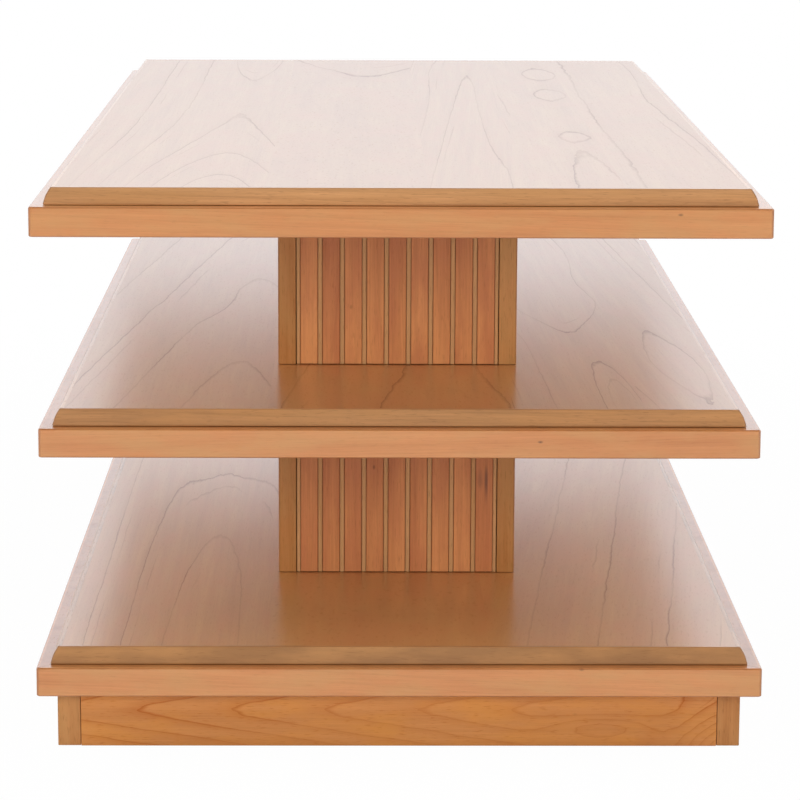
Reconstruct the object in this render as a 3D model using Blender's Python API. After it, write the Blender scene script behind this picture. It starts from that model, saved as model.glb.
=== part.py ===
"""Storage coffee table: three lipped tiers stacked on slatted box pedestals and a plinth.

Metres. X is the width, Y the length and Z up. The origin is on the floor, under the
table's middle. The front is the end that faces -Y.
"""

from math import pi, radians, sin, sqrt, tan

import bmesh
import bpy
from mathutils import Vector

for old in list(bpy.data.objects):
    bpy.data.objects.remove(old, do_unlink=True)

# Overall sizes
TABLE_LENGTH = 1.200
TABLE_WIDTH = 0.600
MIDDLE_SETBACK = 0.048
BAY_HEIGHT = 0.153
JOINT_GAP = 0.0003
ARC_STEPS = 4

# Tier: lipped board under a raised panel with a bevelled frame
BOARD_THICK = 0.0245
RAIL_WIDTH = 0.040
RAIL_ROUND = 0.0015
LEDGE = 0.0110
PANEL_RAISE = 0.0140
BEVEL_RUN = 0.0056
BEVEL_LAND = 0.0029
BEVEL_FOOT = 0.0015
BEVEL_ROUND = 0.0010

# Pedestal: four rebated posts with a slatted board in each side
PEDESTAL_WIDTH = 0.2132
PEDESTAL_SETBACK = 0.269
POST_FACE = 0.0159
POST_LIP = 0.0080
POST_ROUND = 0.0010
SLAT_BOARD = 0.0100
SLAT_WIDTH = 0.0152
SLAT_EASE = 0.0005
GROOVE_WIDTH = 0.0044
GROOVE_DEPTH = 0.0020
EDGE_REBATE = 0.0031
SHADOW_GAP = 0.0010
FIXING_BOARD = 0.0120

# Plinth: boards between square corner posts, with one rail across
PLINTH_HEIGHT = 0.0475
PLINTH_SIDE_INSET = 0.0145
PLINTH_END_INSET = 0.0175
PLINTH_BOARD = 0.0190
PLINTH_POST = 0.0190
PLINTH_POST_BACK = 0.0010
PLINTH_POST_ROUND = 0.0010
CROSS_RAIL = 0.0190

TIER_HEIGHT = BOARD_THICK + PANEL_RAISE
LOWER_TIER_Z = PLINTH_HEIGHT
LOWER_PEDESTAL_Z = LOWER_TIER_Z + TIER_HEIGHT
MIDDLE_TIER_Z = LOWER_PEDESTAL_Z + BAY_HEIGHT
UPPER_PEDESTAL_Z = MIDDLE_TIER_Z + TIER_HEIGHT
TOP_TIER_Z = UPPER_PEDESTAL_Z + BAY_HEIGHT
PEDESTAL_LENGTH = TABLE_LENGTH - 2 * PEDESTAL_SETBACK


def linear(channel):
    """Linear value of one sRGB channel given from 0 to 255."""
    value = channel / 255
    if value <= 0.04045:
        return value / 12.92
    return ((value + 0.055) / 1.055) ** 2.4


def finish(name, red, green, blue, roughness):
    """Lacquered or bare wood of one sRGB colour."""
    made = bpy.data.materials.new(name)
    made.use_nodes = True
    shader = made.node_tree.nodes["Principled BSDF"]
    colour = (linear(red), linear(green), linear(blue), 1.0)
    shader.inputs["Base Color"].default_value = colour
    shader.inputs["Roughness"].default_value = roughness
    shader.inputs["Metallic"].default_value = 0.0
    made.diffuse_color = colour
    return made


LIPPING = finish("orange lipping, satin lacquer", 208, 146, 100, 0.30)
BEVEL = finish("tan bevel strip, satin lacquer", 200, 150, 103, 0.30)
VENEER = finish("veneered panel, gloss lacquer", 193, 138, 97, 0.18)
CORNER_POST = finish("tan corner post, satin lacquer", 176, 118, 71, 0.35)
SLATS = finish("orange slatted board, satin lacquer", 184, 112, 68, 0.35)
PLINTH_FACE = finish("orange plinth board, satin lacquer", 200, 137, 82, 0.35)
BOARD = finish("bare core board", 190, 160, 120, 0.70)


def outline(corners):
    """Closed outline from corners (x, y, radius), with the marked corners rounded."""
    points = []
    for index, (x, y, radius) in enumerate(corners):
        corner = Vector((x, y))
        if radius == 0:
            points.append(corner)
            continue
        back = (Vector(corners[index - 1][:2]) - corner).normalized()
        ahead = (Vector(corners[(index + 1) % len(corners)][:2]) - corner).normalized()
        half = back.angle(ahead) / 2
        centre = corner + (back + ahead).normalized() * radius / sin(half)
        start = corner + back * radius / tan(half) - centre
        end = corner + ahead * radius / tan(half) - centre
        sweep = pi - 2 * half
        for step in range(ARC_STEPS + 1):
            share = step / ARC_STEPS
            spoke = start * sin((1 - share) * sweep) + end * sin(share * sweep)
            points.append(centre + spoke / sin(sweep))
    return points


def prism(points, height):
    """Outline in the XY plane, extruded up by its height."""
    shape = bmesh.new()
    ring = [shape.verts.new((point.x, point.y, 0.0)) for point in points]
    grown = bmesh.ops.extrude_face_region(shape, geom=[shape.faces.new(ring)])
    raised = [item for item in grown["geom"] if isinstance(item, bmesh.types.BMVert)]
    bmesh.ops.translate(shape, verts=raised, vec=(0.0, 0.0, height))
    return shape


def mitred_strip(points, length, corner_round):
    """Section of (inset, height) points run along X, with ends mitred to meet the next strip.

    The outer upright edge at each end follows a corner of the given radius.
    """
    shape = bmesh.new()
    rings = []
    for way in (-1, 1):
        ring = []
        for inset, height in points:
            cut = inset
            if inset < corner_round:
                arc = corner_round - sqrt(corner_round ** 2 - (corner_round - inset) ** 2)
                cut = max(inset, arc)
            reach = length / 2 - cut - JOINT_GAP / sqrt(2)
            ring.append(shape.verts.new((way * reach, inset, height)))
        rings.append(ring)
    count = len(points)
    left, right = rings
    for index in range(count):
        after = (index + 1) % count
        shape.faces.new((left[index], left[after], right[after], right[index]))
    for ring in rings:
        for index in range(count // 2 - 1):
            far = count - 1 - index
            shape.faces.new((ring[index], ring[index + 1], ring[far - 1], ring[far]))
    return shape


def mesh_of(name, shape, wood):
    """Finished mesh: normals out, rounded edges shaded smooth, one wood."""
    bmesh.ops.recalc_face_normals(shape, faces=shape.faces)
    mesh = bpy.data.meshes.new(name)
    shape.to_mesh(mesh)
    shape.free()
    mesh.shade_smooth()
    mesh.set_sharp_from_angle(angle=radians(30))
    mesh.materials.append(wood)
    return mesh


def group(name, height):
    """Empty that carries the pieces of one sub-assembly."""
    carrier = bpy.data.objects.new(name, None)
    carrier.location.z = height
    carrier.empty_display_size = 0.05
    bpy.context.collection.objects.link(carrier)
    return carrier


def place(name, mesh, carrier, spot=(0.0, 0.0), height=0.0, turn=0.0):
    """One piece, set on its carrier."""
    piece = bpy.data.objects.new(name, mesh)
    piece.parent = carrier
    piece.location = (spot[0], spot[1], height)
    piece.rotation_euler.z = turn
    bpy.context.collection.objects.link(piece)
    return piece


def sides(length, width):
    """The sides of a rectangle: name, turn, middle of the outer face, run."""
    return (
        ("front", 0.0, (0.0, -length / 2), width),
        ("right", pi / 2, (width / 2, 0.0), length),
        ("back", pi, (0.0, length / 2), width),
        ("left", -pi / 2, (-width / 2, 0.0), length),
    )


def corners_of(length, width):
    """The corners of a rectangle: name, turn, place."""
    return (
        ("front_left", 0.0, (-width / 2, -length / 2)),
        ("front_right", pi / 2, (width / 2, -length / 2)),
        ("back_right", pi, (width / 2, length / 2)),
        ("back_left", -pi / 2, (-width / 2, length / 2)),
    )


def rectangle(length, width, radius=0.0):
    """Outline of a rectangle about the origin."""
    return outline([
        (-width / 2, -length / 2, radius),
        (width / 2, -length / 2, radius),
        (width / 2, length / 2, radius),
        (-width / 2, length / 2, radius),
    ])


def add_tier(label, length, bottom):
    """Core board in mitred edge rails, with a veneered panel in a mitred bevel frame on top."""
    carrier = group(label + "_tier", bottom)
    width = TABLE_WIDTH

    core = rectangle(length - 2 * (RAIL_WIDTH + JOINT_GAP), width - 2 * (RAIL_WIDTH + JOINT_GAP))
    core_name = label + "_core_board"
    place(core_name, mesh_of(core_name, prism(core, BOARD_THICK), BOARD), carrier)

    rail = outline([
        (RAIL_WIDTH, 0.0, 0.0),
        (0.0, 0.0, RAIL_ROUND),
        (0.0, BOARD_THICK, RAIL_ROUND),
        (RAIL_WIDTH, BOARD_THICK, 0.0),
    ])
    for side, turn, spot, run in sides(length, width):
        name = label + "_edge_rail_" + side
        mesh = mesh_of(name, mitred_strip(rail, run, RAIL_ROUND), LIPPING)
        place(name, mesh, carrier, spot, 0.0, turn)

    rise = PANEL_RAISE - JOINT_GAP
    seat = BOARD_THICK + JOINT_GAP
    base = BEVEL_RUN + BEVEL_LAND
    strip = outline([
        (base, 0.0, 0.0),
        (0.0, 0.0, 0.0),
        (0.0, BEVEL_FOOT, 0.0),
        (BEVEL_RUN, rise, BEVEL_ROUND),
        (base, rise, 0.0),
    ])
    if len(strip) % 2:
        strip.insert(1, (strip[0] + strip[1]) / 2)
    for side, turn, spot, run in sides(length - 2 * LEDGE, width - 2 * LEDGE):
        name = label + "_bevel_strip_" + side
        mesh = mesh_of(name, mitred_strip(strip, run, 0.0), BEVEL)
        place(name, mesh, carrier, spot, seat, turn)

    rim = LEDGE + base + JOINT_GAP
    field = rectangle(length - 2 * rim, width - 2 * rim)
    field_name = label + "_veneered_panel"
    place(field_name, mesh_of(field_name, prism(field, rise), VENEER), carrier, height=seat)


def slatted_outline(width):
    """Board section with its face along y = 0, cut by grooves into even slats."""
    half = width / 2
    clear = width - 2 * EDGE_REBATE
    count = max(1, round((clear + GROOVE_WIDTH) / (SLAT_WIDTH + GROOVE_WIDTH)))
    slat = (clear - (count - 1) * GROOVE_WIDTH) / count
    points = [Vector((-half, SLAT_BOARD)), Vector((-half, GROOVE_DEPTH))]
    for index in range(count):
        start = -half + EDGE_REBATE + index * (slat + GROOVE_WIDTH)
        end = start + slat
        points.append(Vector((start, GROOVE_DEPTH)))
        points.append(Vector((start, SLAT_EASE)))
        points.append(Vector((start + SLAT_EASE, 0.0)))
        points.append(Vector((end - SLAT_EASE, 0.0)))
        points.append(Vector((end, SLAT_EASE)))
        points.append(Vector((end, GROOVE_DEPTH)))
    points.append(Vector((half, GROOVE_DEPTH)))
    points.append(Vector((half, SLAT_BOARD)))
    return points


def fixing_outline():
    """Board that fills the pedestal inside its slatted boards, notched round the posts."""
    gap = SLAT_BOARD + JOINT_GAP
    notch = POST_FACE + POST_LIP + JOINT_GAP
    wide = PEDESTAL_WIDTH / 2 - gap
    long = PEDESTAL_LENGTH / 2 - gap
    slim = PEDESTAL_WIDTH / 2 - notch
    short = PEDESTAL_LENGTH / 2 - notch
    quarter = ((slim, long), (slim, short), (wide, short))
    points = []
    for flip_x, flip_y in ((1, 1), (1, -1), (-1, -1), (-1, 1)):
        run = quarter if flip_x == flip_y else reversed(quarter)
        for x, y in run:
            points.append(Vector((flip_x * x, flip_y * y)))
    return points


def add_pedestal(label, bottom):
    """Box of rebated corner posts and slatted boards, with a fixing board at its head and foot."""
    carrier = group(label + "_pedestal", bottom)
    height = BAY_HEIGHT - 2 * JOINT_GAP
    rebate = SLAT_BOARD + JOINT_GAP
    reach = POST_FACE + POST_LIP

    post = outline([
        (0.0, 0.0, POST_ROUND),
        (POST_FACE, 0.0, 0.0),
        (POST_FACE, rebate, 0.0),
        (reach, rebate, 0.0),
        (reach, reach, 0.0),
        (rebate, reach, 0.0),
        (rebate, POST_FACE, 0.0),
        (0.0, POST_FACE, 0.0),
    ])
    for corner, turn, spot in corners_of(PEDESTAL_LENGTH, PEDESTAL_WIDTH):
        name = label + "_pedestal_post_" + corner
        mesh = mesh_of(name, prism(post, height), CORNER_POST)
        place(name, mesh, carrier, spot, JOINT_GAP, turn)

    for side, turn, spot, run in sides(PEDESTAL_LENGTH, PEDESTAL_WIDTH):
        name = label + "_pedestal_slatted_board_" + side
        board = slatted_outline(run - 2 * (POST_FACE + SHADOW_GAP))
        mesh = mesh_of(name, prism(board, height), SLATS)
        place(name, mesh, carrier, spot, JOINT_GAP, turn)

    for level, seat in (("foot", JOINT_GAP), ("head", BAY_HEIGHT - JOINT_GAP - FIXING_BOARD)):
        name = label + "_pedestal_fixing_board_" + level
        mesh = mesh_of(name, prism(fixing_outline(), FIXING_BOARD), BOARD)
        place(name, mesh, carrier, height=seat)


def add_plinth():
    """Boards between set-back corner posts, and a rail across the middle."""
    carrier = group("plinth", 0.0)
    height = PLINTH_HEIGHT - JOINT_GAP
    length = TABLE_LENGTH - 2 * PLINTH_END_INSET
    width = TABLE_WIDTH - 2 * PLINTH_SIDE_INSET

    post = outline([
        (0.0, 0.0, PLINTH_POST_ROUND),
        (PLINTH_POST, 0.0, 0.0),
        (PLINTH_POST, PLINTH_POST, 0.0),
        (0.0, PLINTH_POST, 0.0),
    ])
    for corner, turn, spot in corners_of(length - 2 * PLINTH_POST_BACK, width - 2 * PLINTH_POST_BACK):
        name = "plinth_corner_post_" + corner
        place(name, mesh_of(name, prism(post, height), CORNER_POST), carrier, spot, 0.0, turn)

    for side, turn, spot, run in sides(length, width):
        half = run / 2 - PLINTH_POST_BACK - PLINTH_POST - JOINT_GAP
        board = outline([
            (-half, 0.0, 0.0),
            (half, 0.0, 0.0),
            (half, PLINTH_BOARD, 0.0),
            (-half, PLINTH_BOARD, 0.0),
        ])
        name = "plinth_board_" + side
        place(name, mesh_of(name, prism(board, height), PLINTH_FACE), carrier, spot, 0.0, turn)

    rail = rectangle(CROSS_RAIL, width - 2 * (PLINTH_BOARD + JOINT_GAP))
    place("plinth_cross_rail", mesh_of("plinth_cross_rail", prism(rail, height), BOARD), carrier)


add_plinth()
add_tier("lower", TABLE_LENGTH, LOWER_TIER_Z)
add_pedestal("lower", LOWER_PEDESTAL_Z)
add_tier("middle", TABLE_LENGTH - 2 * MIDDLE_SETBACK, MIDDLE_TIER_Z)
add_pedestal("upper", UPPER_PEDESTAL_Z)
add_tier("top", TABLE_LENGTH, TOP_TIER_Z)
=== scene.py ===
import math

import bmesh
import bpy
from mathutils import Matrix, Vector


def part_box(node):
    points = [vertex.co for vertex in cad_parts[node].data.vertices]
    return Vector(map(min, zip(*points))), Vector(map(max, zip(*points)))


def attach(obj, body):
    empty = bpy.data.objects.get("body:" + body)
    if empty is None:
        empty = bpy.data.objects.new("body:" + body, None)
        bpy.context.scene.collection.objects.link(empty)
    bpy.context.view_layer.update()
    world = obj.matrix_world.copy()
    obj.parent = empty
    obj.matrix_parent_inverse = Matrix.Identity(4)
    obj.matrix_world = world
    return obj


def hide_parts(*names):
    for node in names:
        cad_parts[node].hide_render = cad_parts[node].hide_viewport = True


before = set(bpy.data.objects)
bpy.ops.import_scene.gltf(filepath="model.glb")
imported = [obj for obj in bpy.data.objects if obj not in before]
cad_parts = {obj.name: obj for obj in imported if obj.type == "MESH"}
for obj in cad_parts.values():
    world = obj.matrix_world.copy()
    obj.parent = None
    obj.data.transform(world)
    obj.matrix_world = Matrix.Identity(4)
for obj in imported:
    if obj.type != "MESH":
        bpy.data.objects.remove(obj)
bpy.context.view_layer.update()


# Plinth corner posts
# Four square posts of tan beech, planed with the grain upright and satin lacquered. They stand in the corners of the
# plinth, 1 mm behind the faces of the boards that butt against them.

def linear(code):
    """sRGB hex colour as linear red, green, blue and alpha."""
    channels = [int(code[start:start + 2], 16) / 255 for start in (0, 2, 4)]
    return [c / 12.92 if c <= 0.04045 else ((c + 0.055) / 1.055) ** 2.4 for c in channels] + [1.0]


def put(tree, kind, sockets, **settings):
    """Add a node with its settings, and give each named or numbered socket a value or a link."""
    node = tree.nodes.new(kind)
    for key, value in settings.items():
        setattr(node, key, value)
    for key, value in sockets.items():
        if isinstance(value, bpy.types.NodeSocket):
            tree.links.new(value, node.inputs[key])
        else:
            node.inputs[key].default_value = value
    return node.outputs


# Setting for a change between two values that starts and ends gently
SMOOTH = {"interpolation_type": "SMOOTHSTEP"}


def lacquered_wood(name, pale, deep, tint, ring, edge_shade, ring_mm, crown_mm, swing_mm, swing_rings, ring_share, streak_mm,
        pore_share, knot_mm, satin, gloss, coat, coat_satin, mineral_at=None):
    """Planed wood under clear lacquer, drawn in the piece's own grain frame (along, across, through, in metres).

    Growth rings give thin darker lines with a soft side, ring_mm apart: nested arches where the cut runs close to the
    heart (crown_mm away, changed by the cut's rise), swung by swing_rings over swing_mm, some with a fainter line
    beside them. The ground runs from pale to deep in streaks and is clouded with the tint. Open pores run with the
    grain, pin knots lie in every second square of knot_mm, and the eased edges are painted darker in patches, a painted
    shade of their roundings. Where mineral_at is given, two dark mineral streaks lie that far along the log, and only a
    piece cut from that place shows them.
    Satin and gloss are the roughness and the reflection of the wood's own face. Coat is how much lacquer stands over
    it, and coat_satin the roughness of that.
    """
    wood = bpy.data.materials.new(name)
    wood.use_nodes = True
    tree = wood.node_tree
    tree.nodes.clear()
    grain = put(tree, "ShaderNodeAttribute", {}, attribute_name="grain")["Vector"]
    tone = put(tree, "ShaderNodeAttribute", {}, attribute_name="tone")["Fac"]
    rise = put(tree, "ShaderNodeAttribute", {}, attribute_name="rise")["Fac"]
    shade_mask = put(tree, "ShaderNodeAttribute", {}, attribute_name="shade_mask")["Fac"]
    along, across, through = put(tree, "ShaderNodeSeparateXYZ", {0: grain})

    # Unevenness of the wood, each kind drawn out along the grain by its size in millimetres along it and across it:
    # slow swing of the rings, fine jag where they cross the pores, fading rings, broad bands, narrow streaks, clouds,
    # patches that break up the painted shade on the eased edges, and open pores. The pores are really 0.2 mm by 3 mm,
    # and drawn 0.9 mm by 9 mm so that they show.
    uneven = []
    for along_mm, across_mm, detail, roughness, shift in (
            (swing_mm, swing_mm / 5, 2.5, 0.45, (0.0, 0.0, 0.0)), (40, 9, 2.0, 0.6, (0.0, 0.0, 0.0)),
            (240, 55, 1.0, 0.5, (3.7, 1.9, 0.6)), (300, 14, 2.0, 0.5, (0.0, 0.0, 0.0)),
            (45 * streak_mm, streak_mm, 3.0, 0.6, (0.0, 0.0, 0.0)), (75, 22, 3.0, 0.6, (0.7, 2.3, 5.1)),
            (18, 18, 2.0, 0.5, (0.0, 0.0, 0.0)), (9, 0.9, 1.0, 0.5, (0.0, 0.0, 0.0))):
        scale = (1000 / along_mm, 1000 / across_mm, 1000 / across_mm)
        drawn = put(tree, "ShaderNodeMapping", {"Vector": grain, "Location": shift, "Scale": scale})[0]
        uneven.append(put(tree, "ShaderNodeTexNoise", {
            "Vector": drawn, "Scale": 1.0, "Detail": detail, "Roughness": roughness})[0])
    swing, jag, fade, bands, streaks, cloud, shade_patches, pores = uneven

    # Ring count out from the heart, then one dark late-wood line per ring with a sharp outer side
    square = put(tree, "ShaderNodeMath", {0: across, 1: across}, operation="MULTIPLY")[0]
    square = put(tree, "ShaderNodeMath", {0: square, 1: (crown_mm / 1000) ** 2}, operation="ADD")[0]
    radius = put(tree, "ShaderNodeMath", {0: square}, operation="SQRT")[0]
    radius = put(tree, "ShaderNodeMath", {0: radius, 1: rise}, operation="ADD")[0]
    jag_rings = 3.0 / ring_mm
    start = -swing_rings - jag_rings / 2
    count = put(tree, "ShaderNodeMath", {0: swing, 1: 2 * swing_rings, 2: start}, operation="MULTIPLY_ADD")[0]
    count = put(tree, "ShaderNodeMath", {0: radius, 1: 1000 / ring_mm, 2: count}, operation="MULTIPLY_ADD")[0]
    count = put(tree, "ShaderNodeMath", {0: jag, 1: jag_rings, 2: count}, operation="MULTIPLY_ADD")[0]
    part = put(tree, "ShaderNodeMath", {0: count}, operation="FRACT")[0]
    line = min(0.35, 1.4 / ring_mm)
    soft_side, soft_strength = min(0.6, 6.0 / ring_mm), min(0.7, 13.0 / ring_mm)
    sharp = put(tree, "ShaderNodeMapRange", {0: part, 1: 1 - line, 2: 1.0, 3: 0.0, 4: 1.0}, **SMOOTH)[0]
    soft = put(tree, "ShaderNodeMapRange", {0: part, 1: 0.0, 2: soft_side, 3: soft_strength, 4: 0.0})[0]
    soft = put(tree, "ShaderNodeMath", {0: soft, 1: 2.0}, operation="POWER")[0]
    ring_line = put(tree, "ShaderNodeMath", {0: sharp, 1: soft}, operation="MAXIMUM")[0]

    # A fainter line beside some of the rings, and rings that fade along their run
    beside = put(tree, "ShaderNodeMath", {0: count, 1: 0.23}, operation="ADD")[0]
    beside = put(tree, "ShaderNodeMath", {0: beside}, operation="FRACT")[0]
    beside = put(tree, "ShaderNodeMapRange", {0: beside, 1: 1 - line, 2: 1.0, 3: 0.0, 4: 0.5}, **SMOOTH)[0]
    paired = put(tree, "ShaderNodeMapRange", {0: fade, 1: 0.52, 2: 0.64, 3: 0.0, 4: 1.0}, **SMOOTH)[0]
    beside = put(tree, "ShaderNodeMath", {0: beside, 1: paired}, operation="MULTIPLY")[0]
    ring_line = put(tree, "ShaderNodeMath", {0: ring_line, 1: beside}, operation="MAXIMUM")[0]
    fade = put(tree, "ShaderNodeMapRange", {0: fade, 1: 0.36, 2: 0.60, 3: 0.4 * ring_share, 4: ring_share}, **SMOOTH)[0]
    ring_line = put(tree, "ShaderNodeMath", {0: ring_line, 1: fade}, operation="MULTIPLY")[0]

    # Broad bands and narrow streaks set the ground between its pale and deep colour
    ground = put(tree, "ShaderNodeMath", {0: bands, 1: 1.3, 2: -0.65}, operation="MULTIPLY_ADD")[0]
    ground = put(tree, "ShaderNodeMath", {0: streaks, 1: 0.9, 2: ground}, operation="MULTIPLY_ADD")[0]
    ground = put(tree, "ShaderNodeMath", {0: ground, 1: tone}, operation="ADD", use_clamp=True)[0]
    colour = put(tree, "ShaderNodeMix", {0: ground, 6: linear(pale), 7: linear(deep)}, data_type="RGBA")[2]
    cloud = put(tree, "ShaderNodeMapRange", {0: cloud, 1: 0.42, 2: 0.66, 3: 0.0, 4: 0.6})[0]
    colour = put(tree, "ShaderNodeMix", {0: cloud, 6: colour, 7: linear(tint)}, data_type="RGBA")[2]
    colour = put(tree, "ShaderNodeMix", {0: ring_line, 6: colour, 7: linear(ring)}, data_type="RGBA")[2]

    # Open pores, darker by the stain in them
    pores = put(tree, "ShaderNodeMapRange", {0: pores, 1: 0.60, 2: 0.74, 3: 0.0, 4: 1.0})[0]
    filled = put(tree, "ShaderNodeMath", {0: pores, 1: pore_share}, operation="MULTIPLY")[0]
    colour = put(tree, "ShaderNodeMix", {0: filled, 6: colour, 7: linear(ring)}, data_type="RGBA")[2]

    # Mineral streaks: a narrow dark one and a shorter faint one 6 mm beside it, both ragged
    if mineral_at is not None:
        for beside_mm, long_mm, wide_mm, share in ((0.0, 23, 2.2, 0.65), (-5.6, 12, 3.6, 0.30)):
            centre = (-mineral_at * 1000 / long_mm, -beside_mm / wide_mm, 0.0)
            scale = (1000 / long_mm, 1000 / wide_mm, 1000 / wide_mm)
            streak = put(tree, "ShaderNodeMapping", {"Vector": grain, "Location": centre, "Scale": scale})[0]
            streak = put(tree, "ShaderNodeVectorMath", {0: streak}, operation="LENGTH")["Value"]
            streak = put(tree, "ShaderNodeMath", {0: jag, 1: 0.9, 2: streak}, operation="MULTIPLY_ADD")[0]
            streak = put(tree, "ShaderNodeMapRange", {0: streak, 1: 0.6, 2: 1.5, 3: share, 4: 0.0}, **SMOOTH)[0]
            colour = put(tree, "ShaderNodeMix", {0: streak, 6: colour, 7: linear("503C3A")}, data_type="RGBA")[2]

    # Pin knots about 2 mm across, drawn out along the grain and ragged
    face = put(tree, "ShaderNodeMath", {0: across, 1: through}, operation="ADD")[0]
    face = put(tree, "ShaderNodeMath", {0: jag, 1: 0.0022, 2: face}, operation="MULTIPLY_ADD")[0]
    drawn = put(tree, "ShaderNodeMath", {0: along, 1: 0.55}, operation="MULTIPLY")[0]
    face = put(tree, "ShaderNodeCombineXYZ", {0: drawn, 1: face})[0]
    knots = put(tree, "ShaderNodeTexVoronoi", {"Vector": face, "Scale": 1000 / knot_mm}, voronoi_dimensions="2D")
    there = put(tree, "ShaderNodeSeparateColor", {0: knots["Color"]})
    there = put(tree, "ShaderNodeMapRange", {0: there["Red"], 1: 0.5, 2: 1.0, 3: 0.0, 4: 0.85})[0]
    knots = put(tree, "ShaderNodeMapRange", {
        0: knots["Distance"], 1: 0.2 / knot_mm, 2: 1.5 / knot_mm, 3: 1.0, 4: 0.0})[0]
    knots = put(tree, "ShaderNodeMath", {0: knots, 1: there}, operation="MULTIPLY")[0]
    colour = put(tree, "ShaderNodeMix", {0: knots, 6: colour, 7: linear("5A3518")}, data_type="RGBA")[2]

    # Eased edges: a painted shade of their roundings in the darker edge colour, broken up along the arris
    shade_patches = put(tree, "ShaderNodeMapRange", {0: shade_patches, 1: 0.35, 2: 0.70, 3: 0.55, 4: 0.80})[0]
    shade_patches = put(tree, "ShaderNodeMath", {0: shade_patches, 1: shade_mask}, operation="MULTIPLY")[0]
    colour = put(tree, "ShaderNodeMix", {0: shade_patches, 6: colour, 7: linear(edge_shade)}, data_type="RGBA")[2]

    # Rings, pores and knots telegraph through the lacquer as faint relief and a duller shine
    relief = put(tree, "ShaderNodeMath", {0: filled, 1: 3.0, 2: ring_line}, operation="MULTIPLY_ADD")[0]
    relief = put(tree, "ShaderNodeMath", {0: streaks, 1: -0.5, 2: relief}, operation="MULTIPLY_ADD")[0]
    relief = put(tree, "ShaderNodeBump", {"Height": relief, "Strength": 0.25, "Distance": -0.0002})[0]
    dull = put(tree, "ShaderNodeMath", {0: filled, 1: 2.0, 2: ring_line}, operation="MULTIPLY_ADD")[0]
    dull = put(tree, "ShaderNodeMath", {0: dull, 1: 0.30, 2: satin}, operation="MULTIPLY_ADD", use_clamp=True)[0]
    shine = put(tree, "ShaderNodeMath", {
        0: ring_line, 1: -0.18 * coat, 2: coat}, operation="MULTIPLY_ADD", use_clamp=True)[0]
    surface = put(tree, "ShaderNodeBsdfPrincipled", {
        "Base Color": colour, "Roughness": dull, "IOR": 1.5, "Specular IOR Level": gloss, "Normal": relief,
        "Coat Weight": shine, "Coat Roughness": coat_satin, "Coat IOR": 1.6})[0]
    put(tree, "ShaderNodeOutputMaterial", {"Surface": surface})
    return wood


def eased(corners, steps=5, broad=0.005):
    """Closed outline through (y, z, radius) corners, with an arc at each rounded one, as (y, z, wear) points.

    The third value is the painted edge shade: 1 in the middle of an eased edge, whose rounding is painted darker, and 0
    on flat faces and on roundings of the broad radius or more.
    """
    points = []
    for index, (y, z, radius) in enumerate(corners):
        here = Vector((y, z))
        if not radius:
            points.append((y, z, 0.0))
            continue
        before = (Vector(corners[index - 1][:2]) - here).normalized()
        after = (Vector(corners[(index + 1) % len(corners)][:2]) - here).normalized()
        half = before.angle(after) / 2
        centre = here + (before + after).normalized() * (radius / math.sin(half))
        arm = here + before * (radius / math.tan(half)) - centre
        turn = math.pi - 2 * half
        if before.x * after.y - before.y * after.x > 0:
            turn = -turn
        for step in range(steps + 1):
            angle = turn * step / steps
            y_arm = arm.x * math.cos(angle) - arm.y * math.sin(angle)
            z_arm = arm.x * math.sin(angle) + arm.y * math.cos(angle)
            shade_mask = math.sin(math.pi * step / steps) if radius < broad else 0.0
            points.append((centre.x + y_arm, centre.y + z_arm, shade_mask))
    return points


def planed(section, start, end, ease, stations=1):
    """Rings of (x, y, z, wear) for straight stock of one section, lying along x, with eased ends."""
    # The fourth value of each point is the painted edge shade, which the eased ends' roundings get as well
    def drawn_in(amount, extra):
        ring = []
        for index, (y, z, shade_mask) in enumerate(section):
            here = Vector((y, z))
            along_in = (here - Vector(section[index - 1][:2])).normalized()
            along_out = (Vector(section[(index + 1) % len(section)][:2]) - here).normalized()
            side = Vector((-along_in.y - along_out.y, along_in.x + along_out.x)) / (1 + along_in.dot(along_out))
            ring.append((y + side.x * amount, z + side.y * amount, max(shade_mask, extra)))
        return ring

    head, tail = [], []
    for step in range(4):
        angle = math.pi / 2 * step / 3
        shift = ease * (1 - math.cos(angle))
        ring = drawn_in(ease * (1 - math.sin(angle)), math.sin(2 * angle))
        head.append([(start + shift, y, z, shade_mask) for y, z, shade_mask in ring])
        tail.insert(0, [(end - shift, y, z, shade_mask) for y, z, shade_mask in ring])
    middle = []
    for step in range(1, stations):
        middle.append([(start + (end - start) * step / stations, y, z, shade_mask) for y, z, shade_mask in section])
    return head + middle + tail


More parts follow.
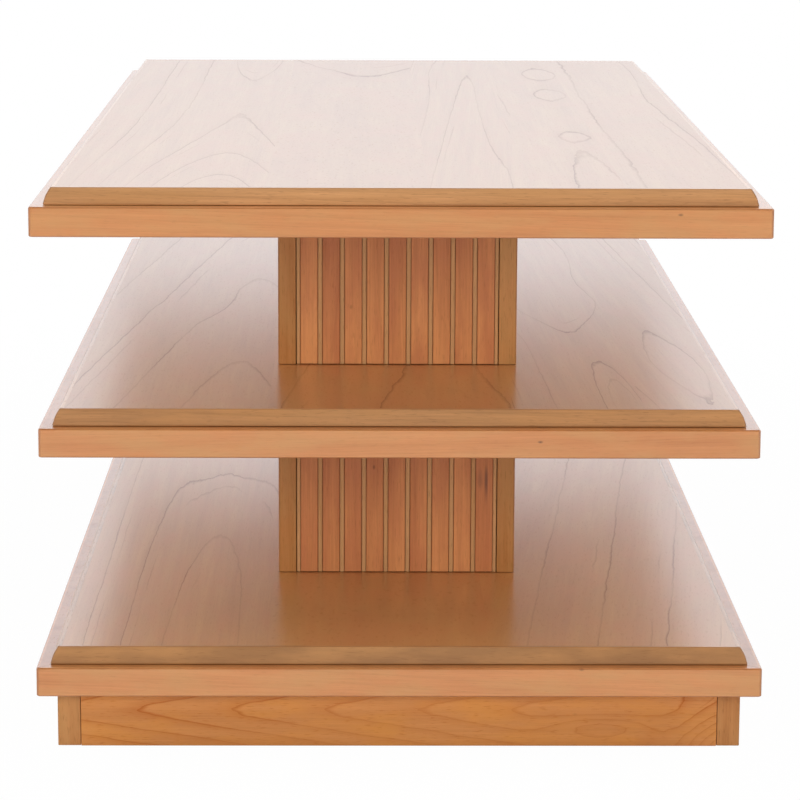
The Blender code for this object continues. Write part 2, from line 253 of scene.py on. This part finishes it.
def fitted(name, shells, finishes, node, shade_per_metre=0.0):
    """One piece lofted from shells and set in the frame in place of a CAD node.

    A shell is (rings, placement, cuts, finish): rings in the piece's own frame with x along the grain, the matrix that
    sets them in the table, one cut of wood for each band of rings or one for all, and the number of its finish. A cut
    is (place in the log, tone, slope, swells): the cut rises from the heart by the slope, and by each swell of the
    grain, given as its (x along the piece, place across the log, length, width, height). The tone grows along the
    piece by the last argument for each metre, a painted shade that deepens it toward the piece's far end.
    """
    build = bmesh.new()
    shade_mask = build.verts.layers.float.new("shade_mask")
    grain = build.loops.layers.float_vector.new("grain")
    tone = build.loops.layers.float.new("tone")
    rise = build.loops.layers.float.new("rise")

    def grained(loop, point, log, shade, slope, *swells):
        spot = log @ Vector(point[:3])
        loop[grain], loop[tone] = spot, shade + shade_per_metre * point[0]
        loop[rise] = slope * point[0]
        for x, across, length, width, height in swells:
            loop[rise] += height * math.exp(-((point[0] - x) / length) ** 2 - ((spot.y - across) / width) ** 2)

    for rings, placement, cuts, finish in shells:
        rows = []
        for ring in rings:
            row = []
            for x, y, z, edge_shade in ring:
                vert = build.verts.new(placement @ Vector((x, y, z)))
                vert[shade_mask] = edge_shade
                row.append(vert)
            rows.append(row)
        size = len(rings[0])
        for band in range(len(rings) - 1):
            cut = cuts[band] if len(cuts) > 1 else cuts[0]
            for index in range(size):
                corners = [(band, index), (band, (index + 1) % size), (band + 1, (index + 1) % size), (band + 1, index)]
                face = build.faces.new([rows[row][spot] for row, spot in corners])
                face.material_index = finish
                face.smooth = True
                for loop, (row, spot) in zip(face.loops, corners):
                    grained(loop, rings[row][spot], *cut)
        for row, cut in ((0, cuts[0]), (len(rings) - 1, cuts[-1])):
            face = build.faces.new(rows[row])
            face.material_index = finish
            for loop, point in zip(face.loops, rings[row]):
                grained(loop, point, *cut)
    bmesh.ops.remove_doubles(build, verts=build.verts, dist=1e-6)
    bmesh.ops.recalc_face_normals(build, faces=build.faces)
    mesh = bpy.data.meshes.new(name)
    build.to_mesh(mesh)
    build.free()
    mesh.set_sharp_from_angle(angle=math.radians(32))
    for finish in finishes:
        mesh.materials.append(finish)
    piece = bpy.data.objects.new(name, mesh)
    bpy.context.scene.collection.objects.link(piece)
    even = piece.modifiers.new("flat faces stay flat", "WEIGHTED_NORMAL")
    even.keep_sharp = True
    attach(piece, "root")
    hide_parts(node)


# Beech, tan stained and satin lacquered: an even tan with short close streaks and small pores, hardly any ring lines
tan_beech = lacquered_wood("tan stained beech, satin lacquer", "D3985E", "B57841", "BE8E55", "7C4C22", "94602E",
    ring_mm=9, crown_mm=40, swing_mm=300, swing_rings=0.8, ring_share=0.18, streak_mm=1.6, pore_share=0.32, knot_mm=210,
    satin=0.38, gloss=0.35, coat=0.0, coat_satin=0.25)
UPRIGHT = Matrix(((0, 1, 0, 0), (0, 0, 1, 0), (1, 0, 0, 0), (0, 0, 0, 1)))
# Each corner with the end of the box that it has across the table, and along it
CORNERS = (("front_left", 0, 0), ("front_right", 1, 0), ("back_right", 1, 1), ("back_left", 0, 1))


def stood(section, node, quarter, across, along, ease):
    """Rings and placement of a post whose outer arris stands in a corner of the node's box, turned by quarters."""
    low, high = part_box(node)
    spot = Vector(((low, high)[across][0], (low, high)[along][1], low[2]))
    place = Matrix.Translation(spot) @ Matrix.Rotation(quarter * math.pi / 2, 4, "Z") @ UPRIGHT
    return planed(section, 0.0, high[2] - low[2], ease), place


POST_WIDTH, POST_SLOPE = 0.0190, 0.05
PLINTH_POST_TONES = (0.28, 0.42, 0.1, 0.2)
post_section = eased([(0, 0, 0.0010), (POST_WIDTH, 0, 0.0004), (POST_WIDTH, POST_WIDTH, 0), (0, POST_WIDTH, 0.0004)])
for number, (corner, across, along) in enumerate(CORNERS):
    node = "plinth_corner_post_" + corner
    rings, place = stood(post_section, node, number, across, along, ease=0.0005)
    log = Matrix.Translation((number * 0.83, 0.11 * number, 0.02))
    shell = (rings, place, [(log, PLINTH_POST_TONES[number], POST_SLOPE)], 0)
    fitted(corner + "_plinth_post", [shell], [tan_beech], node)


# Plinth boards
# Four orange alder boards, planed and satin lacquered, grain lying level. They butt between the corner posts, carry the
# edge of the lower tier, and show the crown of the log as long arches.

# Alder cut near the heart: orange brown, with soft level arches, small dark pores and a few pin knots
crown_alder = lacquered_wood("orange alder, crown cut, satin lacquer", "D89454", "BF7A3E", "D89040", "AF5A19", "A86A34",
    ring_mm=11.6, crown_mm=6, swing_mm=160, swing_rings=0.10, ring_share=0.90, streak_mm=1.3,
    pore_share=0.42, knot_mm=120, satin=0.38, gloss=0.35, coat=0.0, coat_satin=0.25)
# The sides in turn, each a quarter turn from the last
LEVEL_SIDES = ("front", "right", "back", "left")
FACING = Matrix.Rotation(-math.pi / 2, 4, "X")
HEART_HEIGHT = 0.031
# A swell this long or wide lifts the cut evenly
ALL = 9.0
# The rings as the end boards show them: arches down the board, an eye right of its middle and bands at the right end
PLINTH_SWELLS = (
    (0.0, 0.0, ALL, ALL, 0.0077), (0.172, -0.0155, 0.040, 0.010, 0.030),
    (0.285, -0.035, 0.045, 0.050, 0.080), (0.215, 0.0, 0.050, 0.012, 0.010))


def faced(node, quarter):
    """Length, depth and height of a node on one side of the table, and the placement of its outer face's foot."""
    low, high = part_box(node)
    run, deep, rise = (end - start for start, end in zip(low, high))
    if quarter % 2:
        run, deep = deep, run
    reach = (-low[1], high[0], high[1], -low[0])[quarter]
    place = Matrix.Rotation(quarter * math.pi / 2, 4, "Z") @ Matrix.Translation((0, -reach, low[2]))
    return run, deep, rise, place


# Points on the face of the board, up it and along it, so that the swells show
FACE_ROWS, FACE_STATIONS, BOARD_EASE = 12, 48, 0.0006
for quarter, side in enumerate(LEVEL_SIDES):
    node = "plinth_board_" + side
    run, deep, rise, place = faced(node, quarter)
    section = eased([(y, z, BOARD_EASE) for y, z in ((0, 0), (deep, 0), (deep, rise), (0, rise))])
    section += [(0, rise * step / FACE_ROWS, 0.0) for step in range(FACE_ROWS - 1, 0, -1)]
    rings = planed(section, -run / 2, run / 2, ease=0.0005, stations=FACE_STATIONS)
    swells = PLINTH_SWELLS if quarter % 2 == 0 else PLINTH_SWELLS[:2]
    cut = (Matrix.Translation((quarter * 1.37 + 0.2, -HEART_HEIGHT, 0.0)) @ FACING, 0.0, -0.15, *swells)
    fitted(side + "_plinth_board", [(rings, place, [cut], 0)], [crown_alder], node)


# Boards inside
# Core boards of the tiers, fixing boards in the pedestals and the cross rail of the plinth: plain sawn board. Only the
# core boards' undersides show, under a thin pale backing veneer that is sealed but not polished.

# Backing veneer: straight pale streaks, open pores (drawn 0.8 mm wide so that they show) and a dull sealed face
backing = bpy.data.materials.new("pale backing veneer, sealed")
backing.use_nodes = True
tree = backing.node_tree
tree.nodes.clear()
place = put(tree, "ShaderNodeTexCoord", {})["Object"]
streaks = put(tree, "ShaderNodeMapping", {"Vector": place, "Scale": (1 / 0.0022, 1 / 0.11, 1 / 0.0022)})[0]
streaks = put(tree, "ShaderNodeTexNoise", {"Vector": streaks, "Scale": 1.0, "Detail": 3.0, "Roughness": 0.6})[0]
bands = put(tree, "ShaderNodeMapping", {"Vector": place, "Scale": (1 / 0.03, 1 / 0.5, 1 / 0.03)})[0]
bands = put(tree, "ShaderNodeTexNoise", {"Vector": bands, "Scale": 1.0, "Detail": 2.0})[0]
shade = put(tree, "ShaderNodeMath", {0: streaks, 1: bands}, operation="ADD")[0]
shade = put(tree, "ShaderNodeMapRange", {0: shade, 1: 0.7, 2: 1.3, 3: 0.0, 4: 1.0})[0]
colour = put(tree, "ShaderNodeMix", {0: shade, 6: linear("E6DACB"), 7: linear("D8C9B6")}, data_type="RGBA")[2]
pores = put(tree, "ShaderNodeMapping", {"Vector": place, "Scale": (1 / 0.0008, 1 / 0.012, 1 / 0.0008)})[0]
pores = put(tree, "ShaderNodeTexNoise", {"Vector": pores, "Scale": 1.0})[0]
pores = put(tree, "ShaderNodeMapRange", {0: pores, 1: 0.62, 2: 0.72, 3: 0.0, 4: 0.5})[0]
colour = put(tree, "ShaderNodeMix", {0: pores, 6: colour, 7: linear("6B4322")}, data_type="RGBA")[2]
dull = put(tree, "ShaderNodeMapRange", {0: shade, 1: 0.0, 2: 1.0, 3: 0.42, 4: 0.55})[0]
relief = put(tree, "ShaderNodeBump", {"Height": pores, "Strength": 0.3, "Distance": -0.0002})[0]
surface = put(tree, "ShaderNodeBsdfPrincipled", {
    "Base Color": colour, "Roughness": dull, "IOR": 1.5, "Normal": relief})[0]
put(tree, "ShaderNodeOutputMaterial", {"Surface": surface})
for node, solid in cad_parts.items():
    if "core_board" in node or "fixing_board" in node or "cross_rail" in node:
        solid.material_slots[0].material = backing


# Edge rails
# Four lippings of orange alder round each tier, planed, glued to the core board and mitred at the corners. Their edges
# are rounded to 1.4 mm and the tier's corners to about 2.5 mm, and the outer 11 mm of their tops stays bare as a ledge
# round the raised panel.

# Alder cut on the quarter: warm orange tan, fine level streaks, a pin knot here and there, satin lacquer
level_alder = lacquered_wood("orange alder, straight grain, satin lacquer",
    "DE9556", "C07438", "CC9354", "A0622E", "9A5C2E",
    ring_mm=8, crown_mm=30, swing_mm=400, swing_rings=0.8, ring_share=0.16, streak_mm=1.4, pore_share=0.20, knot_mm=95,
    satin=0.34, gloss=0.4, coat=1.0, coat_satin=0.22)


def mitred(profile, half, foot, head, outside):
    """Rings for a strip along x whose profile (inset y, height z) meets its neighbours on 45 degree planes.

    half is half the run along the outer face. The frame's corners are rounded, from the foot radius at the bottom to
    the head radius at the top, as far in as the outside width of the profile, and stay sharp behind it.
    """
    steps = 5
    top = max(z for y, z, shade_mask in profile)
    rings = []
    for end in (-1, 1):
        for step in range(steps + 1):
            share = (steps - step) / steps if end < 0 else step / steps
            angle = math.radians(45) * share
            ring = []
            for y, z, shade_mask in profile:
                radius = foot + (head - foot) * z / top if y <= outside else 0.0
                x = half - y - radius * (1 - math.sin(angle))
                # The corner's rounding gets the painted edge shade too, most in the middle of its turn
                corner_shade = max(shade_mask, math.sin(2 * angle)) if radius else shade_mask
                ring.append((end * x, y + radius * (1 - math.cos(angle)), z, corner_shade))
            rings.append(ring)
    return rings


MITRE_GAP = 0.0002


def framed(tier, kind, profile, foot, head, outside):
    """For each side of a tier: its quarter, name and CAD node, and the rings and placement of its mitred strip."""
    half_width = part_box(tier + kind + "right")[1][0]
    half_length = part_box(tier + kind + "back")[1][1]
    for quarter, side in enumerate(LEVEL_SIDES):
        node = tier + kind + side
        half, reach = ((half_width, half_length), (half_length, half_width))[quarter % 2]
        turned = Matrix.Rotation(quarter * math.pi / 2, 4, "Z")
        place = turned @ Matrix.Translation((0, -reach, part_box(node)[0][2]))
        yield quarter, side, node, mitred(profile, half - MITRE_GAP, foot, head, outside), place


TIERS = ("lower", "middle", "top")
RAIL_WIDTH, RAIL_HEIGHT, RAIL_ROUND = 0.0400, 0.0245, 0.0014
LEDGE_INNER, LEDGE_OUTER = 0.0120, 0.0032
# For each tier, how much painted shade lies on the ledge, most on the lower tiers that the tiers above shade, how
# many degrees the grain slants, and the tone
RAIL_CUTS = ((1.0, 1.8, 0.0), (0.8, -1.4, 0.05), (0.0, 1.0, 0.0))
# Radius of the tier's corners at the foot and head of the rail, and how far in they are rounded
RAIL_CORNER = (0.0022, 0.0026, 0.0020)
rail_section = [(0, 0, RAIL_ROUND), (RAIL_WIDTH, 0, 0), (RAIL_WIDTH, RAIL_HEIGHT, 0), (0, RAIL_HEIGHT, RAIL_ROUND)]
for level, (tier, (ledge_shade, slant, tone)) in enumerate(zip(TIERS, RAIL_CUTS)):
    profile = eased(rail_section)
    behind = [(y, z) for y, z, shade_mask in profile].index((RAIL_WIDTH, RAIL_HEIGHT)) + 1
    # The ledge points carry the tier's painted shade
    profile[behind:behind] = [(LEDGE_INNER, RAIL_HEIGHT, ledge_shade), (LEDGE_OUTER, RAIL_HEIGHT, ledge_shade)]
    for quarter, side, node, rings, place in framed(tier, "_edge_rail_", profile, *RAIL_CORNER):
        slanted = Matrix.Rotation(math.radians(slant + 0.7 * quarter), 4, "Z")
        log = Matrix.Translation((level * 2.3 + quarter * 1.41, 0.03 + 0.02 * level, 0.3 * quarter))
        cut = (slanted @ log @ FACING, tone, 0.02)
        fitted(tier + "_" + side + "_rail", [(rings, place, [cut], 0)], [level_alder], node)


# Bevel strips
# Four bevelled mouldings of tan beech round each raised panel, planed, mitred at the corners and glued on the rails and
# the panel's edge. The bevel swells a little and leans back 5.6 mm over its height above a 1.2 mm upright foot, and
# leaves a 3 mm flat on top.

# Beech, lightly stained and satin lacquered: tan with level streaks, and a painted shade along the eased edges
level_beech = lacquered_wood("tan beech moulding, satin lacquer", "DFA36A", "A7774A", "CB9259", "84562F", "94602F",
    ring_mm=8, crown_mm=30, swing_mm=400, swing_rings=0.8, ring_share=0.20, streak_mm=1.3, pore_share=0.32, knot_mm=160,
    satin=0.34, gloss=0.4, coat=1.0, coat_satin=0.22)
STRIP_BASE, STRIP_RISE, STRIP_FOOT, STRIP_LEAN = 0.00875, 0.0137, 0.0012, 0.0056
# The strips' tones on the lower, middle and top tier deepen low down: a painted shade from the tiers above
STRIP_SWELL, STRIP_CORNER, STRIP_TONE_AND_SHADE = (0.0020, 0.0080, 0.0200), (0.0008, 0.0016, 0.0070), (1.0, 0.05, -0.08)
strip_profile = eased([(0, 0, 0.0004), (STRIP_BASE, 0, 0), (STRIP_BASE, STRIP_RISE, 0),
    (STRIP_LEAN, STRIP_RISE, 0.0012), STRIP_SWELL, (0, STRIP_FOOT, 0.0006)])
for level, tier in enumerate(TIERS):
    for quarter, side, node, rings, place in framed(tier, "_bevel_strip_", strip_profile, *STRIP_CORNER):
        log = Matrix.Translation((level * 1.9 + quarter * 1.27, 0.04 + 0.02 * level, 0.3 * quarter))
        cut = (log @ FACING, STRIP_TONE_AND_SHADE[level], 0.03)
        fitted(tier + "_" + side + "_bevel", [(rings, place, [cut], 0)], [level_beech], node)


# Veneered panels
# The field of each tier: three to five crown-cut leaves laid edge to edge along the table on a 14 mm board, flush with
# the bevel strips round it, and lacquered to a gloss.

# Crown-cut veneer under gloss lacquer: a few wide-set brown ring lines in long arches and closed loops, fine pores, and
# a mirror-like shine at low angles that the open rings break
gloss_veneer = lacquered_wood("crown-cut veneer, gloss lacquer", "C28E52", "AE7440", "BE7C48", "5C3020", "B07A44",
    ring_mm=34, crown_mm=20, swing_mm=260, swing_rings=0.06, ring_share=0.54, streak_mm=1.8,
    pore_share=0.10, knot_mm=2000, satin=0.40, gloss=0.7, coat=1.0, coat_satin=0.25)
# For each leaf: its left edge before trimming and its heart across the table, how far its heart runs askew, how wide
# its rings are spread, its tone, how its cut slopes, and the swells of its grain, measured along the table and across
# it from the heart
LEAVES = {
    "lower": (
        (-0.283, -0.166, 0.0, 0.90, 0.00, 0.0, (0.0, 0.0, ALL, ALL, -0.0088), (0.45, 0.0, 0.55, 0.05, 0.090)),
        (-0.110, -0.010, 0.0, 4.0, 0.10, 0.0, (0.0, 0.0, ALL, ALL, -0.008)),
        (0.075, 0.060, 0.11, 1.7, 0.04, 0.0, (0.0, 0.0, ALL, ALL, 0.0003))),
    "middle": (
        (-0.283, -0.140, 0.0, 1.5, 0.00, 0.07, (0.0, 0.0, ALL, ALL, 0.0021), (0.0, -0.035, 0.10, 0.030, 0.008)),
        (-0.110, 0.040, 0.0, 2.2, 0.10, 0.04, (0.0, 0.0, ALL, ALL, 0.0235)),
        (0.095, 0.159, -0.03, 1.0, 0.04, 0.0, (0.0, 0.0, ALL, ALL, 0.0200), (0.0, 0.0, 0.12, ALL, -0.024),
            (0.35, 0.0, 0.30, ALL, -0.034), (-0.55, 0.022, 0.24, 0.018, -0.032)),
        (0.205, 0.228, -0.07, 1.0, 0.02, 0.0, (0.0, 0.0, ALL, ALL, 0.017), (-0.32, 0.0, 0.14, ALL, -0.012))),
    "top": (
        (-0.283, -0.150, 0.0, 1.15, 0.00, 0.0, (0.0, 0.0, ALL, ALL, 0.018), (-0.75, 0.0, 0.40, 0.10, -0.1075),
            (0.62, 0.0, 0.20, 0.028, -0.036)),
        (-0.110, -0.028, 0.0, 2.5, 0.10, 0.0, (0.0, 0.0, ALL, ALL, 0.017), (0.62, 0.0, 0.172, ALL, -0.022)),
        (0.022, 0.070, 0.037, 0.6, 0.06, 0.028, (0.0, 0.0, ALL, ALL, 0.0034), (0.50, -0.055, 0.35, 0.025, -0.030),
            (-0.50, 0.050, 0.35, 0.025, -0.030)),
        (0.106, 0.163, 0.0, 1.3, 0.04, 0.0, (0.0, 0.0, ALL, ALL, 0.016), (0.401, 0.0, 0.065, 0.06, -0.007),
            (0.179, 0.0, 0.058, 0.06, -0.007), (-0.206, 0.0, 0.0445, 0.06, -0.0053), (-0.62, 0.0, 0.248, ALL, -0.0076)),
        (0.182, 0.100, 0.0, 1.7, 0.02, 0.0, (0.0, 0.0, ALL, ALL, 0.0103), (-0.60, 0.16, 0.60, 0.05, -0.020),
            (0.45, 0.14, 0.20, 0.03, -0.020))),
}
# Points along a leaf and across it, so that the swells show
LONG_STEPS, CROSS_STEPS = 100, 16
for level, (tier, leaves) in enumerate(LEAVES.items()):
    node = tier + "_veneered_panel"
    low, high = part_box(node)
    half = (high[1] - low[1]) / 2
    rise = high[2] - low[2]
    outline = [(-half, 0, 0.0), (half, 0, 0.0)]
    outline += [(half - 2 * half * step / LONG_STEPS, rise, 0.0) for step in range(LONG_STEPS + 1)]
    edges = [max(low[0], leaf[0]) for leaf in leaves] + [high[0]]
    rings, cuts = [], []
    for leaf, (edge, heart, lean, spread, tone, slope, *swells) in enumerate(leaves):
        along_log = level * 4.3 + leaf * 1.3
        askew = Matrix(((1, 0, 0, along_log), (lean / spread, 1 / spread, 0, 0), (0, 0, 1, 0), (0, 0, 0, 1)))
        log = askew @ Matrix.Translation((0, heart, 0))
        placed = [(x, -y / spread, length, width / spread, height) for x, y, length, width, height in swells]
        for step in range(CROSS_STEPS):
            x = edges[leaf] + (edges[leaf + 1] - edges[leaf]) * step / CROSS_STEPS
            rings.append([(y, -x, z, shade_mask) for y, z, shade_mask in outline])
            cuts.append((log, tone, slope, *placed))
    rings.append([(y, -high[0], z, shade_mask) for y, z, shade_mask in outline])
    place = Matrix.Translation((0, (low[1] + high[1]) / 2, low[2])) @ Matrix.Rotation(math.pi / 2, 4, "Z")
    fitted(tier + "_veneered_field", [(rings, place, cuts, 0)], [gloss_veneer], node)


# Pedestal posts
# Four upright corner posts of tan beech in each pedestal, rebated on two sides so that the slatted boards sit in them
# flush with their faces. The outer arris is eased to 1.8 mm.

POST_FACE, POST_LIP, POST_REBATE = 0.0159, 0.0080, 0.0103
REACH = POST_FACE + POST_LIP
# Tones of the posts in the order of the corners
POST_TONES = {"lower": (0.25, 0.20, 0.0, 0.1), "upper": (0.37, -0.33, 0.0, 0.1)}
post_section = eased([(0, 0, 0.0018), (POST_FACE, 0, 0.0004), (POST_FACE, POST_REBATE, 0), (REACH, POST_REBATE, 0),
    (REACH, REACH, 0), (POST_REBATE, REACH, 0), (POST_REBATE, POST_FACE, 0), (0, POST_FACE, 0.0004)])
for level, (pedestal, tones) in enumerate(POST_TONES.items()):
    for number, (corner, across, along) in enumerate(CORNERS):
        node = pedestal + "_pedestal_post_" + corner
        rings, place = stood(post_section, node, number, across, along, ease=0.0004)
        log = Matrix.Translation((level * 3.1 + number * 0.77, 0.07 * number, 0.05 * level))
        shell = (rings, place, [(log, tones[number], POST_SLOPE)], 0)
        fitted(pedestal + "_" + corner + "_post", [shell], [tan_beech], node)


# Slatted boards
# Each face of a pedestal is a backing board with upright slats of orange-pink alder pinned on it, 15 mm wide and 4.4 mm
# apart, and a thin tan bead between each pair with a dark gap on both sides. The slats stop just short of the shelf.
# One of them shows mineral streaks.

# How far along the log the mineral streaks lie
MINERAL_PLACE = 60.0
# Alder slats: orange pink, each cut from another board, so no two are quite alike
pink_alder = lacquered_wood("pink alder slats, satin lacquer", "E79F65", "B87046", "C77B53", "8C4E2C", "A8643C",
    ring_mm=10, crown_mm=25, swing_mm=300, swing_rings=0.8, ring_share=0.15, streak_mm=1.5,
    pore_share=0.22, knot_mm=180, satin=0.38, gloss=0.35, coat=0.0, coat_satin=0.25, mineral_at=MINERAL_PLACE)
# Unstained beech beads: a paler olive tan, seen only in the grooves
pale_beech = lacquered_wood("unstained beech beads, satin lacquer", "DAA671", "C5915C", "C8996A", "866238", "A87E54",
    ring_mm=9, crown_mm=40, swing_mm=300, swing_rings=0.8, ring_share=0.15, streak_mm=1.5, pore_share=0.32, knot_mm=400,
    satin=0.40, gloss=0.35, coat=0.0, coat_satin=0.25)
SLAT_WIDTH, GROOVE_WIDTH, GROOVE_DEPTH, EDGE_REBATE, FOOT_GAP = 0.0152, 0.0044, 0.0020, 0.0031, 0.0003
BEAD_GAP, BEAD_SINK, BEAD_FOOT_GAP, BEAD_LAP = 0.0004, 0.0006, 0.0001, 0.0003
HEAD_GAP, BEDDING = 0.0002, 0.0002
# Tones of the slats from the left, which come again after the ninth on the long sides
SLAT_TONES = {
    "lower": (0.18, 0.20, 0.14, 0.14, 0.10, 0.06, 0.04, 0.04, 0.24),
    "upper": (-0.04, 0.16, 0.04, -0.10, 0.06, -0.10, -0.12, 0.02, -0.04),
}
# The slats, their backing and beads are painted paler at the foot and deeper at the head, a painted shade under the
# tier above: how much deeper they are at the head than in the middle
PAINTED_HEAD_SHADE = {"lower": 0.24, "upper": 0.45}
# One slat of the front board was cut through the mineral streaks: where they show across the table, and how high
STREAKED_SLAT, STREAK_ACROSS, STREAK_HEIGHT = ("lower", "front", 8), 0.0807, 0.1714


def upright(start, end, face, back, ease):
    """Section of a board, slat or bead from start to end along a side, between two depths, its face's edges eased."""
    return eased([(start, face, ease), (end, face, ease), (end, back, 0), (start, back, 0)])


for level, (pedestal, head_shade) in enumerate(PAINTED_HEAD_SHADE.items()):
    for quarter, side in enumerate(LEVEL_SIDES):
        node = pedestal + "_pedestal_slatted_board_" + side
        run, deep, rise, place = faced(node, quarter)
        foot_height = place.translation.z
        place = place @ UPRIGHT
        edge = run / 2
        cut = (Matrix.Translation((level * 1.3 + quarter * 2.1, 0.3, 0.1)), -0.1 - head_shade, 0.05)
        section = upright(-edge, edge, GROOVE_DEPTH, deep, ease=0)
        shells = [(planed(section, 0.0, rise, ease=0.0001), place, [cut], 2)]
        clear = run - 2 * EDGE_REBATE
        beads = [(-edge - BEAD_LAP, -edge + EDGE_REBATE - BEAD_GAP), (edge - EDGE_REBATE + BEAD_GAP, edge + BEAD_LAP)]
        count = round((clear + GROOVE_WIDTH) / (SLAT_WIDTH + GROOVE_WIDTH))
        slat = (clear - (count - 1) * GROOVE_WIDTH) / count
        for index in range(count):
            start = -edge + EDGE_REBATE + index * (slat + GROOVE_WIDTH)
            section = upright(start, start + slat, 0, GROOVE_DEPTH + BEDDING, ease=0.0005)
            spot = (index * 0.61 + quarter * 5.3 + level * 9.1, 0.04 * index, 0.013 * index)
            if (pedestal, side, index) == STREAKED_SLAT:
                spot = (MINERAL_PLACE - STREAK_HEIGHT + foot_height, -STREAK_ACROSS, 0.0)
            tones = SLAT_TONES[pedestal]
            cut = (Matrix.Translation(spot), tones[index % len(tones)] - head_shade, 0.04)
            shells.append((planed(section, FOOT_GAP, rise - HEAD_GAP, ease=0.0004), place, [cut], 0))
            if index:
                beads.append((start - GROOVE_WIDTH + BEAD_GAP, start - BEAD_GAP))
        for index, (start, end) in enumerate(beads):
            section = upright(start, end, BEAD_SINK, GROOVE_DEPTH + BEDDING, ease=0.0003)
            log = Matrix.Translation((index * 0.47 + quarter * 3.7 + level * 8.3, 0.05 * index, 0.2))
            rings = planed(section, BEAD_FOOT_GAP, rise - HEAD_GAP, ease=0.0002)
            shells.append((rings, place, [(log, -head_shade, 0.04)], 1))
        finishes = [pink_alder, pale_beech, tan_beech]
        # The tone deepens up the slats, backing and beads: a painted shade under the tier above
        fitted(pedestal + "_" + side + "_slats", shells, finishes, node, 2 * head_shade / rise)


# Floor
# A plain white floor that keeps the soft shadow of the table and runs out to the white of the room.

floor_mesh = bpy.data.meshes.new("floor")
build = bmesh.new()
bmesh.ops.create_circle(build, cap_ends=True, segments=64, radius=30.0)
build.to_mesh(floor_mesh)
build.free()
floor = bpy.data.objects.new("floor", floor_mesh)
floor.location = (0, 0, -0.0003)
bpy.context.scene.collection.objects.link(floor)
paper = bpy.data.materials.new("matt white paper")
paper.use_nodes = True
tree = paper.node_tree
tree.nodes.clear()
place = put(tree, "ShaderNodeTexCoord", {})["Object"]
mottle = put(tree, "ShaderNodeTexNoise", {"Vector": place, "Scale": 1 / 0.4, "Detail": 3.0})[0]
white = put(tree, "ShaderNodeMix", {0: mottle, 6: linear("EDEDED"), 7: linear("E8E8E8")}, data_type="RGBA")[2]
lit = put(tree, "ShaderNodeBsdfDiffuse", {"Color": white})[0]
bright = put(tree, "ShaderNodeEmission", {"Color": (1, 1, 1, 1), "Strength": 1.0})[0]
away = put(tree, "ShaderNodeVectorMath", {0: place}, operation="LENGTH")["Value"]
away = put(tree, "ShaderNodeMapRange", {0: away, 1: 0.9, 2: 1.7, 3: 0.98, 4: 1.0}, **SMOOTH)[0]
ray = put(tree, "ShaderNodeLightPath", {})
seen = put(tree, "ShaderNodeMath", {0: ray["Is Camera Ray"], 1: away}, operation="MULTIPLY")[0]
surface = put(tree, "ShaderNodeMixShader", {0: seen, 1: lit, 2: bright})[0]
put(tree, "ShaderNodeOutputMaterial", {"Surface": surface})
floor_mesh.materials.append(paper)


# Light
# A white sweep behind the table, a dimmer room in front of it, raised soft boxes on both sides, lower ones before both
# near corners, and a weak one overhead.

room = bpy.data.worlds.new("white sweep and dim room")
bpy.context.scene.world = room
room.use_nodes = True
tree = room.node_tree
tree.nodes.clear()
toward = put(tree, "ShaderNodeTexCoord", {})["Generated"]
across, ahead, rising = put(tree, "ShaderNodeSeparateXYZ", {0: toward})
# The sweep brightens above the floor and dims overhead, and the room before the table is dim all over
sweep = put(tree, "ShaderNodeMapRange", {0: rising, 1: 0.05, 2: 0.25, 3: 1.07, 4: 1.37}, **SMOOTH)[0]
sweep = put(tree, "ShaderNodeMapRange", {0: rising, 1: 0.40, 2: 0.80, 3: sweep, 4: 0.35}, **SMOOTH)[0]
sweep = put(tree, "ShaderNodeMapRange", {0: ahead, 1: -0.45, 2: 0.25, 3: 0.22, 4: sweep}, **SMOOTH)[0]
ray = put(tree, "ShaderNodeLightPath", {})
glow = put(tree, "ShaderNodeMix", {0: ray["Is Camera Ray"], 2: sweep, 3: 1.0}, data_type="FLOAT")[0]
hue = put(tree, "ShaderNodeMix", {
    0: ray["Is Camera Ray"], 6: linear("F9FBFF"), 7: linear("FFFFFF")}, data_type="RGBA")[2]
glow = put(tree, "ShaderNodeBackground", {"Color": hue, "Strength": glow})[0]
put(tree, "ShaderNodeOutputWorld", {"Surface": glow})
for name, spot, aim, width, height, watts in (
        ("overhead soft box", (0, -0.6, 3.2), (0, -0.6, 0), 3.0, 3.0, 4.0),
        ("left side box", (-3.0, -0.3, 2.3), (0, -0.3, 0.25), 2.6, 1.4, 56.0),
        ("right side box", (3.0, -0.3, 2.3), (0, -0.3, 0.25), 2.6, 1.4, 56.0),
        ("left front box", (-2.2, -3.4, 1.15), (0, -0.6, 0.25), 1.6, 1.3, 41.0),
        ("right front box", (2.2, -3.4, 1.15), (0, -0.6, 0.25), 1.6, 1.3, 35.0)):
    lamp = bpy.data.lights.new(name, "AREA")
    lamp.shape = "RECTANGLE"
    lamp.size, lamp.size_y, lamp.energy = width, height, watts
    soft_box = bpy.data.objects.new(name, lamp)
    soft_box.location = spot
    # The side and front boxes are kept out of reflections, so that the lacquer doesn't mirror them as white patches
    soft_box.visible_glossy = "overhead" in name
    soft_box.rotation_euler = (Vector(aim) - Vector(spot)).to_track_quat("-Z", "Y").to_euler()
    bpy.context.scene.collection.objects.link(soft_box)


# Camera
# Long lens before the end of the table, a little above it and left of its middle.

view = bpy.data.cameras.new("view")
view.sensor_width = 36.0
view.lens = 144.6
eye = bpy.data.objects.new("view", view)
# Where the lens stands, and how many degrees it turns to the right, looks down and leans
SPOT, TO_RIGHT, DOWN, LEAN = (-0.0319, -3.1615, 0.7997), 0.698, 11.083, 0.250
turn = Matrix.Rotation(math.radians(-TO_RIGHT), 4, "Z") @ Matrix.Rotation(math.radians(90 - DOWN), 4, "X")
eye.matrix_world = Matrix.Translation(SPOT) @ turn @ Matrix.Rotation(math.radians(LEAN), 4, "Z")
bpy.context.scene.collection.objects.link(eye)
bpy.context.scene.camera = eye
bpy.context.scene.view_settings.view_transform = "Standard"
